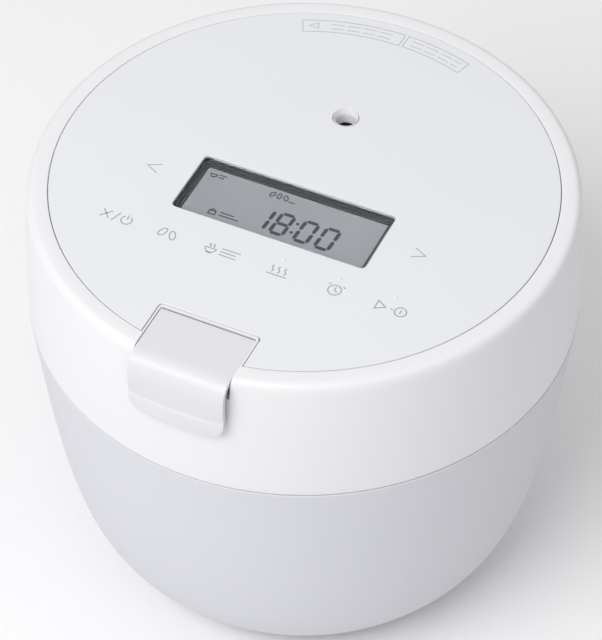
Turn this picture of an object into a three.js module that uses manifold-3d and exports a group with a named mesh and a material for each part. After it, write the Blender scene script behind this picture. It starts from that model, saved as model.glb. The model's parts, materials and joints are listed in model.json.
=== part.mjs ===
// A round, free-standing pressure induction rice cooker with a hinged lid, a touch panel and a pull-up latch.
// Millimetres, +Z up, front towards -Y. Z = 0 is the table. The bowl's axis stands AXIS_Y off the origin,
// so that the origin is the middle of the whole object's footprint.

import * as THREE from 'three';
import { mergeVertices } from 'three/addons/utils/BufferGeometryUtils.js';
import Module from 'manifold-3d';

const wasm = await Module();
wasm.setup();

// ---------------------------------------------------------------- driving dimensions

const GAP = 0.3;                        // running gap between neighbouring pieces
const AXIS_Y = -7.85;                   // the bowl axis, from the middle of the footprint
const ROUND = 48;                       // facets round the visible shells
const HIDDEN = 28;                      // facets round the pan and what fits round it
const COARSE = 20;                      // facets round the small or buried pieces

const TOP_Z = 223.1;                    // upper face of the control panel
const SEAM_Z = 157.5;                   // parting line between the body and the lid
const BASE_Z = 3.2;                     // underside of the base cover, above the feet
const BODY_R = 126;                     // outer radius at the parting line
const CASE_WALL = 2.8;
const LID_WALL = 3.2;
const LID_BOTTOM_Z = SEAM_Z + 0.6;

const PANEL_R = 112.7;                  // control panel disc
const PANEL_THICK = 2.2;
const PANEL_BOTTOM_Z = TOP_Z - PANEL_THICK;

const PAN_R = 100;                      // outside of the inner pan
const PAN_WALL = 2;
const PAN_BOTTOM_Z = 41;
const PAN_CORNER_R = 30;
const PAN_FLANGE_R = 104;
const PAN_FLANGE_Z = 161;

const HINGE = { y: 136, z: 161.5, pinR: 2.5, knuckleR: 5.8 };
const LEVER = { y: -99.5, z: 217.2, pinR: 1.5, halfWidth: 22.1, bottomZ: 193.6 };
const HOOK = { y: -112, z: 186, pinR: 1.5, halfWidth: 8.5 };
const DISPLAY = { halfWidth: 46.2, frontY: -39.05, backY: -4.5, cornerR: 2.3 };
const VENT_Y = 44.2;                    // steam outlet, behind the bowl axis
const VALVE = { y: 44.2, ballZ: 180, ballR: 4 };
const SAFETY = { x: 40, y: 30 };        // relief valve in the lid
const FAN = { y: -45, size: 60, bottomZ: 5.7, height: 15 };

// ---------------------------------------------------------------- materials

function finish(color, roughness, metalness = 0) {
  return new THREE.MeshStandardMaterial({ color, roughness, metalness });
}

const glossWhite = finish(0xf0f0f2, 0.25);
const satinWhite = finish(0xe4e6ea, 0.38);
const matteWhite = finish(0xdadbde, 0.6);
const lightGrey = finish(0xc4c6ca, 0.5);
const darkGrey = finish(0x3c3d42, 0.5);
const blackPlastic = finish(0x1d1e20, 0.55);
const displayGrey = finish(0x9aa0a5, 0.3);
const clearPlastic = finish(0xdfe4e8, 0.08);
const rubber = finish(0x55575a, 0.85);
const silicone = finish(0x8f9296, 0.6);
const steel = finish(0xc3c6ca, 0.3, 1);
const stainless = finish(0xd2d4d6, 0.35, 1);
const aluminium = finish(0xb9bcc0, 0.4, 1);
const copper = finish(0xb5703d, 0.4, 1);
const ferrite = finish(0x2b2b2d, 0.7);
const boardGreen = finish(0x2f6b3f, 0.6);
const capacitorFilm = finish(0x8a8f3c, 0.5);
const panCoating = finish(0x35363a, 0.45, 0.3);

// ---------------------------------------------------------------- geometry helpers

/** Merges shared vertices and drops the triangles that have no area, such as those at a lathe's axis. */
function weld(geometry) {
  const bare = geometry.clone();
  bare.deleteAttribute('normal');
  bare.deleteAttribute('uv');
  const merged = mergeVertices(bare, 1e-4);
  const index = merged.index.array;
  const kept = [];
  for (let i = 0; i < index.length; i += 3) {
    const [a, b, c] = [index[i], index[i + 1], index[i + 2]];
    if (a !== b && b !== c && c !== a) kept.push(a, b, c);
  }
  merged.setIndex(kept);
  return merged;
}

function toSolid(geometry) {
  const welded = weld(geometry);
  return new wasm.Manifold(new wasm.Mesh({
    numProp: 3,
    vertProperties: new Float32Array(welded.attributes.position.array),
    triVerts: new Uint32Array(welded.index.array),
  }));
}

function toGeometry(solid) {
  const mesh = solid.getMesh();
  const geometry = new THREE.BufferGeometry();
  geometry.setAttribute('position', new THREE.BufferAttribute(new Float32Array(mesh.vertProperties), 3));
  geometry.setIndex(Array.from(mesh.triVerts));
  return geometry;
}

function join(first, ...others) {
  return toGeometry(others.reduce((whole, other) => whole.add(toSolid(other)), toSolid(first)));
}

function cut(first, ...tools) {
  return toGeometry(tools.reduce((rest, tool) => rest.subtract(toSolid(tool)), toSolid(first)));
}

function common(first, second) {
  return toGeometry(toSolid(first).intersect(toSolid(second)));
}

/** Turns an outline of [radius, z] points about the Z axis. It closes on itself or on the axis. */
function lathe(outline, segments = HIDDEN) {
  const area = outline.reduce((sum, [r, z], i) => {
    const [nextR, nextZ] = outline[(i + 1) % outline.length];
    return sum + r * nextZ - nextR * z;
  }, 0);
  const loop = area > 0 ? [...outline] : [...outline].reverse();
  const onAxis = loop[0][0] === 0 && loop[loop.length - 1][0] === 0;
  if (!onAxis) loop.push(loop[0]);
  const points = loop.map(([r, z]) => new THREE.Vector2(r, z));
  return weld(new THREE.LatheGeometry(points, segments).rotateX(Math.PI / 2));
}

/** Points of an arc, angles in degrees, in the plane of a lathe outline or a side outline. */
function arc(centreA, centreB, radius, from, to, steps) {
  return Array.from({ length: steps + 1 }, (_, i) => {
    const angle = THREE.MathUtils.degToRad(from + (to - from) * i / steps);
    return [centreA + radius * Math.cos(angle), centreB + radius * Math.sin(angle)];
  });
}

function shapeOf(points, holes = []) {
  const shape = new THREE.Shape(points.map(([a, b]) => new THREE.Vector2(a, b)));
  shape.holes = holes.map((hole) => new THREE.Path(hole.map(([a, b]) => new THREE.Vector2(a, b))));
  return shape;
}

/** A flat piece: an outline in the X-Y plane with its holes, from lowZ to highZ. */
function plate(points, lowZ, highZ, holes = []) {
  const settings = { depth: highZ - lowZ, bevelEnabled: false };
  return weld(new THREE.ExtrudeGeometry(shapeOf(points, holes), settings).translate(0, 0, lowZ));
}

/** An outline in the Y-Z plane, given the width from lowX to highX. */
function sideways(points, lowX, highX, holes = [], steps = 1) {
  const settings = { depth: highX - lowX, bevelEnabled: false, steps };
  const turn = new THREE.Matrix4().makeBasis(
    new THREE.Vector3(0, 1, 0), new THREE.Vector3(0, 0, 1), new THREE.Vector3(1, 0, 0));
  const geometry = new THREE.ExtrudeGeometry(shapeOf(points, holes), settings);
  return weld(geometry.applyMatrix4(turn).translate(lowX, 0, 0));
}

function box(lowX, highX, lowY, highY, lowZ, highZ) {
  return weld(new THREE.BoxGeometry(highX - lowX, highY - lowY, highZ - lowZ)
    .translate((lowX + highX) / 2, (lowY + highY) / 2, (lowZ + highZ) / 2));
}

function circle(x, y, radius, steps = 8) {
  return arc(x, y, radius, 0, 360 * (1 - 1 / steps), steps - 1);
}

function roundedRect(lowX, highX, lowY, highY, radius, steps = 2) {
  return [
    ...arc(highX - radius, lowY + radius, radius, -90, 0, steps),
    ...arc(highX - radius, highY - radius, radius, 0, 90, steps),
    ...arc(lowX + radius, highY - radius, radius, 90, 180, steps),
    ...arc(lowX + radius, lowY + radius, radius, 180, 270, steps),
  ];
}

function rodZ(x, y, radius, lowZ, highZ, segments = 12) {
  return weld(new THREE.CylinderGeometry(radius, radius, highZ - lowZ, segments)
    .rotateX(Math.PI / 2).translate(x, y, (lowZ + highZ) / 2));
}

function rodX(y, z, radius, lowX, highX, segments = 12) {
  return weld(new THREE.CylinderGeometry(radius, radius, highX - lowX, segments)
    .rotateZ(Math.PI / 2).translate((lowX + highX) / 2, y, z));
}

function rodY(x, z, radius, lowY, highY, segments = 12) {
  return weld(new THREE.CylinderGeometry(radius, radius, highY - lowY, segments)
    .translate(x, (lowY + highY) / 2, z));
}

/** Stands a piece that was turned about Z along +Y instead, so that its z becomes y. */
function alongY(geometry) {
  return geometry.rotateX(-Math.PI / 2);
}

class Helix extends THREE.Curve {
  constructor(radius, height, turns) {
    super();
    Object.assign(this, { radius, height, turns });
  }

  getPoint(t, target = new THREE.Vector3()) {
    const angle = t * this.turns * Math.PI * 2;
    return target.set(this.radius * Math.cos(angle), this.radius * Math.sin(angle), this.height * t);
  }
}

/** A coil spring standing on z = 0, between lowZ and highZ once moved there. */
function coilSpring(radius, wireR, lowZ, highZ, turns) {
  const height = highZ - lowZ - 2 * wireR;
  const section = shapeOf(circle(0, 0, wireR, 4));
  const settings = {
    extrudePath: new Helix(radius, height, turns), steps: turns * 7, bevelEnabled: false,
  };
  return weld(new THREE.ExtrudeGeometry(section, settings).translate(0, 0, lowZ + wireR));
}

/** A pan-head screw pointing up +Z, with its head from z = 0 and its shank to z = length. */
function screw(headR, headHeight, shankR, length) {
  return lathe([
    [0, 0], [headR * 0.7, 0], [headR, headHeight * 0.5], [headR, headHeight],
    [shankR, headHeight], [shankR, length - shankR], [0, length],
  ], 10);
}

// ---------------------------------------------------------------- assembly bookkeeping

const model = new THREE.Group();
model.position.y = AXIS_Y;

function add(name, material, geometry, place = [0, 0, 0]) {
  const mesh = new THREE.Mesh(geometry, material);
  mesh.name = name;
  mesh.position.set(...place);
  model.add(mesh);
}

// ---------------------------------------------------------------- body shells

/** Outside of the body from the base to the parting line, as [radius, z]. */
const CASE_OUTLINE = new THREE.CubicBezierCurve(
  new THREE.Vector2(87.2, BASE_Z), new THREE.Vector2(105.6, 33.8),
  new THREE.Vector2(115.7, 12.9), new THREE.Vector2(BODY_R, SEAM_Z));

function casePoints(offset, steps) {
  return CASE_OUTLINE.getPoints(steps).map((p) => [p.x + offset, p.y]);
}

// Four base screws, clear of the fan, the board and the feet.
const BASE_SCREW_R = 76;
const BASE_SCREW_ANGLES = [20, 160, 200, 340];

function onCircle(radius, degrees) {
  const angle = THREE.MathUtils.degToRad(degrees);
  return [radius * Math.cos(angle), radius * Math.sin(angle)];
}

const GLAND = { z: 27, radius: 8, bore: 3.8 };
const HINGE_SCREW = { x: 16, z: 136 };

function outerCase() {
  const shell = lathe([...casePoints(0, 8), ...casePoints(-CASE_WALL, 5).reverse()], ROUND);
  const bosses = BASE_SCREW_ANGLES.flatMap((degrees) => {
    const rib = sideways([[BASE_SCREW_R, 10], [90, 10], [99.5, 22], [BASE_SCREW_R, 22]], -1.2, 1.2);
    rib.rotateZ(THREE.MathUtils.degToRad(degrees - 90));
    return [rodZ(...onCircle(BASE_SCREW_R, degrees), 4.2, 5.8, 22, 8), rib];
  });
  const basePilots = BASE_SCREW_ANGLES.map((degrees) => {
    return rodZ(...onCircle(BASE_SCREW_R, degrees), 1.8, 5, 17, 6);
  });
  const hingePilots = [-1, 1].map((side) => rodY(side * HINGE_SCREW.x, HINGE_SCREW.z, 1.8, 114, 128, 6));
  const glandHole = rodY(0, GLAND.z, GLAND.radius + GAP, 85, 125, 16);
  return cut(join(shell, ...bosses), ...basePilots, ...hingePilots, glandHole);
}

const FEET = [
  [-52, -52, 'front_left'], [52, -52, 'front_right'], [-52, 52, 'rear_left'], [52, 52, 'rear_right'],
];

function baseCover() {
  const holes = [
    ...FEET.map(([x, y]) => circle(x, y, 2.6)),
    ...BASE_SCREW_ANGLES.map((degrees) => circle(...onCircle(BASE_SCREW_R, degrees), 1.9)),
  ];
  for (let i = -3; i <= 3; i += 1) {
    const reach = Math.sqrt(27 ** 2 - (i * 7.5) ** 2);
    holes.push(roundedRect(i * 7.5 - 2, i * 7.5 + 2, FAN.y - reach, FAN.y + reach, 1.9, 1));
    holes.push(roundedRect(i * 9 - 2, i * 9 + 2, 30, 62, 1.9, 1));
  }
  const cover = plate(circle(0, 0, 84, ROUND), BASE_Z, BASE_Z + 2.2, holes);
  const postCentres = [[-44, 11], [44, 11], [-44, 59], [44, 59]];
  const posts = postCentres.map(([x, y]) => rodZ(x, y, 3, BASE_Z + 2, 8.7, 8));
  return join(cover, ...posts);
}

function foot() {
  return lathe([[0, 0], [7, 0], [8, 1], [8, 2.9], [2.3, 2.9], [2.3, 7], [0, 7]], 16);
}

add('outer_case', matteWhite, outerCase());
add('base_cover', lightGrey, baseCover());
for (const [x, y, name] of FEET) add(`foot_${name}`, rubber, foot(), [x, y, 0]);
BASE_SCREW_ANGLES.forEach((degrees, i) => {
  add(`base_screw_${i + 1}`, steel, screw(3.2, 1.7, 1.5, 13), [...onCircle(BASE_SCREW_R, degrees), 1.2]);
});

/** The collar round the pan, with a slot at the front for the latch hook. */
function topFrame() {
  const ring = lathe([
    [103.8, 154.2], [107.4, 154.2], [107.4, 162.8], [116.8, 162.8], [116.8, 154.2], [122.2, 154.2],
    [122.2, 156.4], [119, 156.4], [119, 163.6], [117.6, 165], [107, 165], [105.6, 163.6],
    [105.6, 156.4], [103.8, 156.4],
  ]);
  const hookSlot = box(-11, 11, -116.6, -107.7, 150, 170);
  const clawSlot = box(-11, 11, -125, -107.7, 156.6, 170);
  return cut(ring, hookSlot, clawSlot);
}

function innerCasing() {
  const casingR = PAN_R + 1.5;
  const rimZ = PAN_FLANGE_Z - GAP;
  const centreR = PAN_R - PAN_CORNER_R;
  const centreZ = PAN_BOTTOM_Z + PAN_CORNER_R;
  return lathe([
    [10.5, 37.5], ...arc(centreR, centreZ, PAN_CORNER_R + 3.5, -90, 0, 3),
    [casingR + 2, 156.7], [105.2, 156.7], [105.2, rimZ], [casingR, rimZ],
    ...arc(centreR, centreZ, PAN_CORNER_R + 1.5, 0, -90, 3), [10.5, 39.5],
  ]);
}

/** The pan's wall and rounded corner. Its floor is a disc of its own, so that each stays a simple shape. */
function innerPan() {
  const centreR = PAN_R - PAN_CORNER_R;
  const centreZ = PAN_BOTTOM_Z + PAN_CORNER_R;
  const flangeTopZ = PAN_FLANGE_Z + 2.5;
  return lathe([
    ...arc(centreR, centreZ, PAN_CORNER_R, -90, 0, 4),
    [PAN_R, PAN_FLANGE_Z], [PAN_FLANGE_R, PAN_FLANGE_Z], [PAN_FLANGE_R, flangeTopZ],
    [PAN_R - PAN_WALL + 1, flangeTopZ], [PAN_R - PAN_WALL, flangeTopZ - 1.5],
    ...arc(centreR, centreZ, PAN_CORNER_R - PAN_WALL, 0, -90, 4),
  ]);
}

function innerPanFloor() {
  const radius = PAN_R - PAN_CORNER_R - 0.05;
  return lathe([
    [0, PAN_BOTTOM_Z], [radius, PAN_BOTTOM_Z], [radius, PAN_BOTTOM_Z + PAN_WALL], [0, PAN_BOTTOM_Z + PAN_WALL],
  ]);
}

add('top_frame', satinWhite, topFrame());
add('inner_casing', darkGrey, innerCasing());
add('inner_pan', panCoating, innerPan());
add('inner_pan_floor', panCoating, innerPanFloor());

// ---------------------------------------------------------------- heating and sensing

/** The coils and their carrier share the centre of the pan's corner. */
const CORNER = { r: PAN_R - PAN_CORNER_R, z: PAN_BOTTOM_Z + PAN_CORNER_R };

function bottomCoil() {
  return lathe([[26, 30.9], [64, 30.9], [64, 35.8], [62.6, 36.9], [27.4, 36.9], [26, 35.8]], COARSE);
}

function sideCoil() {
  return lathe([
    ...arc(CORNER.r, CORNER.z, 39.8, -68, -28, 2),
    ...arc(CORNER.r, CORNER.z, 34.8, -28, -68, 2),
  ], COARSE);
}

function coilCarrier() {
  return lathe([
    [14.4, 28], ...arc(CORNER.r, CORNER.z, 43, -90, -25, 3),
    ...arc(CORNER.r, CORNER.z, 40.6, -25, -90, 3), [14.4, 30.4],
  ], COARSE);
}

function sensorHolder() {
  return lathe([
    [4, 21.5], [13.4, 21.5], [13.4, 25.4], [18, 25.4], [18, 27.7], [13.4, 27.7], [13.4, 31],
    [11, 31], [11, 23.5], [4, 23.5],
  ], 16);
}

function thermalSensor() {
  return lathe([[0, 19.5], [3.5, 19.5], [3.5, 33], [9, 33], [9, 39.6], [8, 40.7], [0, 40.7]], 16);
}

add('bottom_coil', copper, bottomCoil());
add('side_coil', copper, sideCoil());
add('coil_carrier', lightGrey, coilCarrier());
for (let i = 0; i < 2; i += 1) {
  const bar = box(24, 60, -4.5, 4.5, 23.9, 27.7).rotateZ(i * Math.PI);
  add(`ferrite_bar_${i + 1}`, ferrite, bar);
}
add('sensor_holder', blackPlastic, sensorHolder());
add('sensor_spring', steel, coilSpring(6, 0.6, 23.9, 32.6, 3));
add('thermal_sensor', aluminium, thermalSensor());

// ---------------------------------------------------------------- fan and electronics

function fanFrame() {
  const half = FAN.size / 2;
  const top = FAN.bottomZ + FAN.height;
  const square = roundedRect(-half, half, FAN.y - half, FAN.y + half, 3);
  const frame = plate(square, FAN.bottomZ, top, [circle(0, FAN.y, half - 2.5, COARSE)]);
  const motorSeat = rodZ(0, FAN.y, 13, top - 2, top, 12);
  const arms = [0, 120, 240].map((degrees) => {
    const arm = box(0, half - 1.5, -1.5, 1.5, top - 2, top);
    return arm.rotateZ(THREE.MathUtils.degToRad(degrees)).translate(0, FAN.y, 0);
  });
  return join(frame, motorSeat, ...arms);
}

/** Seven pitched blades on a hub, centred on the origin of the piece. */
function fanRotor() {
  const low = FAN.bottomZ + 1;
  const high = FAN.bottomZ + FAN.height - 3;
  const hub = rodZ(0, 0, 12, low, high);
  const blades = Array.from({ length: 7 }, (_, i) => {
    const blade = box(10, 26, -4.5, 4.5, -0.7, 0.7).rotateX(THREE.MathUtils.degToRad(38));
    return blade.translate(0, 0, (low + high) / 2).rotateZ(i * Math.PI * 2 / 7);
  });
  return join(hub, ...blades);
}

/** A finned extrusion standing on the board. */
function heatSink() {
  const outline = [[-46, 10.9], [-6, 10.9]];
  const fins = 6;
  for (let i = 0; i < fins; i += 1) {
    const right = -6 - i * 7.6;
    outline.push([right, 23], [right - 2, 23]);
    if (i < fins - 1) outline.push([right - 2, 13.6], [right - 7.6, 13.6]);
  }
  const depth = 36;
  const finned = new THREE.ExtrudeGeometry(shapeOf(outline), { depth, bevelEnabled: false });
  return weld(finned.rotateX(Math.PI / 2).translate(0, 22 + depth, 0));
}

function cordGland() {
  const { radius, bore } = GLAND;
  return alongY(lathe([
    [bore, 93], [radius - 1, 93], [radius, 94], [radius, 109], [radius - 1.5, 112],
    [bore + 0.8, 112], [bore, 111],
  ], 16)).translate(0, 0, GLAND.z);
}

add('fan_frame', blackPlastic, fanFrame());
add('fan_rotor', darkGrey, fanRotor(), [0, FAN.y, 0]);
add('power_board', boardGreen, box(-50, 50, 5, 65, 9, 10.6));
add('heat_sink', aluminium, heatSink());
add('filter_capacitor', capacitorFilm, plate(roundedRect(10, 42, 30, 48, 2), 10.9, 23));
add('cord_gland', blackPlastic, cordGland());

// ---------------------------------------------------------------- hinge

/** A flat eye of the hinge, from lowX to highX: straight sides, a round end and a bore for the pin. */
function hingeEye(points, radius, fromDegrees, toDegrees, lowX, highX) {
  const outline = [...points, ...arc(HINGE.y, HINGE.z, radius, fromDegrees, toDegrees, 6)];
  return sideways(outline, lowX, highX, [circle(HINGE.y, HINGE.z, HINGE.pinR + GAP, 10)]);
}

function hingeArm() {
  const neck = [[119.9, 169.2], [118, 169.2], [118, 166.9]];
  const arms = [[-22, -12], [12, 22]].map(([low, high]) => hingeEye(neck, HINGE.knuckleR, -112, 84, low, high));
  return join(box(-22, 22, 106, 119, 166.9, 169.2), ...arms);
}

function hingeBracket() {
  const root = [[126.4, 150], [126.4, 122], [128.6, 122]];
  const ears = [[-26.5, -24], [24, 26.5]].map(([low, high]) => hingeEye(root, 4.4, -40, 150, low, high));
  const holes = [-1, 1].map((side) => rodY(side * HINGE_SCREW.x, HINGE_SCREW.z, 1.8, 124, 131, 8));
  return cut(join(box(-26.5, 26.5, 126.4, 128.6, 122, 150), ...ears), ...holes);
}

/** The cowl behind the body that hides the hinge. It is open towards the body and slotted for the arms. */
function hingeCover() {
  const outside = sideways([
    [110, 96], [128, 96], [141, 118], [145, 140], [145, 162], [142, 168.5], [130.5, 168.5],
    [127.5, 165.5], [110, 165.5],
  ], -38, 38);
  const inside = sideways([
    [105, 98.4], [126.6, 98.4], [138.9, 118.8], [142.8, 140.2], [142.8, 161.6], [140.8, 166.4], [131.4, 166.4],
    [130.4, 165.3], [130.4, 158.4], [105, 158.4],
  ], -35.8, 35.8);
  const lidRoom = rodZ(0, 0, BODY_R + 2.2, SEAM_Z - 0.2, 172, ROUND);
  const bodySide = casePoints(0.5, 9).filter(([, z]) => z > 92);
  const bodyRoom = lathe([[0, 90], [119.4 + GAP, 90], ...bodySide, [0, SEAM_Z]], ROUND);
  const armSlot = box(-23.4, 23.4, 110, 142.9, SEAM_Z - 0.1, 172);
  const bracketSlot = box(-27.2, 27.2, 110, 131, SEAM_Z - 0.1, 166.4);
  return cut(outside, inside, lidRoom, bodyRoom, armSlot, bracketSlot);
}

add('hinge_bracket', steel, hingeBracket());
add('hinge_cover', matteWhite, hingeCover());
add('hinge_pin', steel, rodX(HINGE.y, HINGE.z, HINGE.pinR, -28, 28));
add('hinge_spring', steel, coilSpring(4.3, 0.7, -10.5, 10.5, 4).rotateY(Math.PI / 2), [0, HINGE.y, HINGE.z]);
[-1, 1].forEach((side) => {
  const name = side < 0 ? 'hinge_screw_left' : 'hinge_screw_right';
  const geometry = screw(3, 2, 1.5, 12).rotateX(Math.PI / 2);
  add(name, steel, geometry, [side * HINGE_SCREW.x, 131, HINGE_SCREW.z]);
});
add('catch_plate', steel, plate(roundedRect(-14, 14, -121.2, -117, 0.8, 1), 151.6, 153.9));

// ---------------------------------------------------------------- lid shells

/** Outside of the lid from the parting line to the flat ring round the panel, as [radius, z]. */
function lidOutline() {
  const side = new THREE.QuadraticBezierCurve(
    new THREE.Vector2(125.87, LID_BOTTOM_Z), new THREE.Vector2(125.8, 192), new THREE.Vector2(122.5, 219.2));
  const corner = new THREE.CubicBezierCurve(
    new THREE.Vector2(122.5, 219.2), new THREE.Vector2(122.1, 221.6),
    new THREE.Vector2(120.8, TOP_Z), new THREE.Vector2(118.4, TOP_Z));
  return [...side.getPoints(2), ...corner.getPoints(3).slice(1)].map((p) => [p.x, p.y]);
}

const LEDGE_Z = PANEL_BOTTOM_Z - GAP;
const POCKET = { halfWidth: 22.6, backY: -94.4, floorZ: 192.4 };

function lidCover() {
  const outline = lidOutline();
  const shell = lathe([
    ...outline, [PANEL_R + 0.6, TOP_Z], [PANEL_R + 0.6, LEDGE_Z], [108, LEDGE_Z], [108, LEDGE_Z - 2.2],
    [117, LEDGE_Z - 2.2], [119.4, 214], [122.2, 192], [BODY_R - LID_WALL - 0.1, LID_BOTTOM_Z],
  ], ROUND);
  const filled = lathe([[0, LID_BOTTOM_Z], ...outline.map(([r, z]) => [r - 0.8, z]), [0, TOP_Z]], ROUND);
  const { halfWidth, backY, floorZ } = POCKET;
  const walls = join(
    box(-halfWidth - 2.4, halfWidth + 2.4, -140, backY + 2.6, floorZ - 2, 219.4),
    box(-halfWidth - 0.7, halfWidth + 0.7, -115, backY + 1.3, 219, TOP_Z - 0.4));
  const room = box(-halfWidth, halfWidth, -140, backY, floorZ, TOP_Z + 2);
  const hookSlot = box(-9.5, 9.5, -117.5, -106.5, 180, 200);
  const trunnionHoles = rodX(LEVER.y, LEVER.z, LEVER.pinR + GAP, -30, 30);
  const hingeNotch = box(-23.4, 23.4, 110, 130, 150, 170.4);
  return cut(join(shell, common(walls, filled)), room, hookSlot, trunnionHoles, hingeNotch);
}

/** The panel's disc has a notch at the front for the flap, a window for the display and a hole for the vent. */
function touchPanel() {
  const notchX = 23.6;
  const notchY = -92.8;
  const corner = 0.6;
  const edgeAngle = THREE.MathUtils.radToDeg(Math.acos(notchX / PANEL_R));
  const outline = [
    ...arc(0, 0, PANEL_R, -edgeAngle, 180 + edgeAngle, ROUND - 4),
    ...arc(-notchX + corner, notchY - corner, corner, 180, 90, 2),
    ...arc(notchX - corner, notchY - corner, corner, 90, 0, 2),
  ];
  const { halfWidth, frontY, backY, cornerR } = DISPLAY;
  const window = roundedRect(-halfWidth, halfWidth, frontY, backY, cornerR, 3);
  return plate(outline, PANEL_BOTTOM_Z, TOP_Z, [window, circle(0, VENT_Y, 6.05, 16)]);
}

add('lid_cover', glossWhite, lidCover());
add('touch_panel', satinWhite, touchPanel());

function lidFrame() {
  const hookSlot = roundedRect(-10.5, 10.5, -118.5, -105.5, 1, 1);
  return plate(circle(0, 0, 121.8, ROUND), 169.5, 171.4, [
    hookSlot, circle(0, VALVE.y, 10, 12), circle(SAFETY.x, SAFETY.y, 3),
  ]);
}

function innerLid() {
  const vents = Array.from({ length: 6 }, (_, i) => {
    const [x, y] = onCircle(8, i * 60);
    return circle(x, y + VALVE.y, 1.6, 6);
  });
  const holes = [circle(0, VALVE.y, 3), circle(SAFETY.x, SAFETY.y, 3), ...vents];
  return plate(circle(0, 0, 99.1, HIDDEN), 166, 167.2, holes);
}

function panGasket() {
  return lathe([[99.4, 165.2], [100.6, 163.8], [102.2, 163.8], [103, 165], [103, 169.2], [99.4, 169.2]]);
}

add('lid_frame', satinWhite, lidFrame());
add('inner_lid', stainless, innerLid());
add('pan_gasket', silicone, panGasket());
add('lid_heater', aluminium, lathe([[68, 171.7], [90, 171.7], [90, 172.9], [68, 172.9]], COARSE));
add('hinge_arm', steel, hingeArm());

// ---------------------------------------------------------------- display

const GLASS = { halfWidth: 42.75, frontY: -35.6, backY: -7.6 };

function displayBezel() {
  const { halfWidth, frontY, backY } = DISPLAY;
  const block = plate(roundedRect(-halfWidth - 3, halfWidth + 3, frontY - 3, backY + 3, 2), 215.5, 220.6);
  const mouth = plate(roundedRect(-halfWidth + 0.6, halfWidth - 0.6, frontY + 0.6, backY - 0.6, 2), 219.8, 222);
  const lip = box(-GLASS.halfWidth, GLASS.halfWidth, GLASS.frontY, GLASS.backY, 214, 222);
  const seat = box(-44.7, 44.7, -37.4, -5.8, 214, 219.1);
  return cut(block, mouth, lip, seat);
}

function touchBoard() {
  const points = [
    [-80, -10], [-80, -66], [80, -66], [80, -10], [51, -10], [51, -43.2], [-51, -43.2], [-51, -10],
  ];
  return plate(points, 219.4, 220.4);
}

add('lcd_window', clearPlastic, plate(roundedRect(-45.85, 45.85, -38.7, -4.85, 2), 221.5, 222.7));
add('lcd_bezel', darkGrey, displayBezel());
add('lcd_glass', displayGrey, box(-44.4, 44.4, -37.1, -6.1, 216.8, 218.8));
add('display_board', boardGreen, box(-52, 52, -46, 2, 211.5, 213.1));
add('touch_board', boardGreen, touchBoard());

// ---------------------------------------------------------------- steam path and valves

function steamVent() {
  return lathe([
    [3.6, 190], [5.2, 190], [5.2, 221.2], [5.75, 221.2], [5.75, 222.9], [5.5, TOP_Z], [5.3, TOP_Z],
    [4.3, 221.8], [4.3, 214], [3.6, 213.2],
  ], 16);
}

/** The can over the steam hole, with the ball's seat in its floor and a side hole for the plunger. */
function valveChamber() {
  const can = lathe([
    [2.4, 172], [20, 172], [20, 196], [5.6, 196], [5.6, 194], [18, 194], [18, 174],
    [6, 174], [6, 175.7], [2.4, 175.7],
  ], 20);
  return cut(can, rodY(0, VALVE.ballZ, 3.4, -30, -10));
}

function safetyHousing() {
  return lathe([
    [2.4, 172], [8, 172], [8, 186], [2.2, 186], [2.2, 184], [6.5, 184], [6.5, 174], [2.4, 174],
  ], 12);
}

function safetyValve() {
  return lathe([[0, 174.3], [5.5, 174.3], [5.5, 176.3], [1.8, 176.3], [1.8, 187.5], [0, 187.5]], 12);
}

function solenoidBody() {
  const yoke = box(-11, 11, -8, 22, 171.9, 190);
  return cut(yoke, rodY(0, VALVE.ballZ, 3.3, 0, 30));
}

add('steam_vent', lightGrey, steamVent(), [0, VENT_Y, 0]);
add('valve_chamber', lightGrey, valveChamber(), [0, VALVE.y, 0]);
const ball = weld(new THREE.SphereGeometry(VALVE.ballR, 12, 8));
add('pressure_ball', stainless, ball, [0, VALVE.y, VALVE.ballZ]);
add('solenoid_body', blackPlastic, solenoidBody());
add('solenoid_plunger', steel, rodY(0, VALVE.ballZ, 3, 2, VALVE.y - VALVE.ballR - GAP));
add('safety_valve_housing', lightGrey, safetyHousing(), [SAFETY.x, SAFETY.y, 0]);
add('safety_valve', stainless, safetyValve(), [SAFETY.x, SAFETY.y, 0]);
add('safety_spring', steel, coilSpring(3.6, 0.5, 176.7, 183.6, 3), [SAFETY.x, SAFETY.y, 0]);

// ---------------------------------------------------------------- latch

/** The skin of the flap: a flat top, a bend and a front that hangs over the side of the lid. */
function leverSkin() {
  const bend = new THREE.CubicBezierCurve(
    new THREE.Vector2(-118.5, 222.4), new THREE.Vector2(-125, 222),
    new THREE.Vector2(-127.2, 217.5), new THREE.Vector2(-128, 203)).getPoints(5).map((p) => [p.x, p.y]);
  const inner = bend.map(([y, z]) => [y + 2.2, z - 1.6 * (z - 203) / 19.4]).reverse();
  const outline = [
    [-95.4, 219.8], [-95.4, 221.3], [-96.4, 222.3], ...bend, [-129.3, LEVER.bottomZ], [-127.4, LEVER.bottomZ],
    ...inner, [-117, 219.8],
  ];
  const skin = sideways(outline, -LEVER.halfWidth, LEVER.halfWidth, [], 6);
  const position = skin.attributes.position;
  for (let i = 0; i < position.count; i += 1) {
    const x = position.getX(i);
    const y = position.getY(i);
    const frontness = THREE.MathUtils.smoothstep(-y, 100, 122);
    position.setY(i, y + frontness * (BODY_R - Math.sqrt(BODY_R ** 2 - x ** 2)));
  }
  return skin;
}

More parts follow.
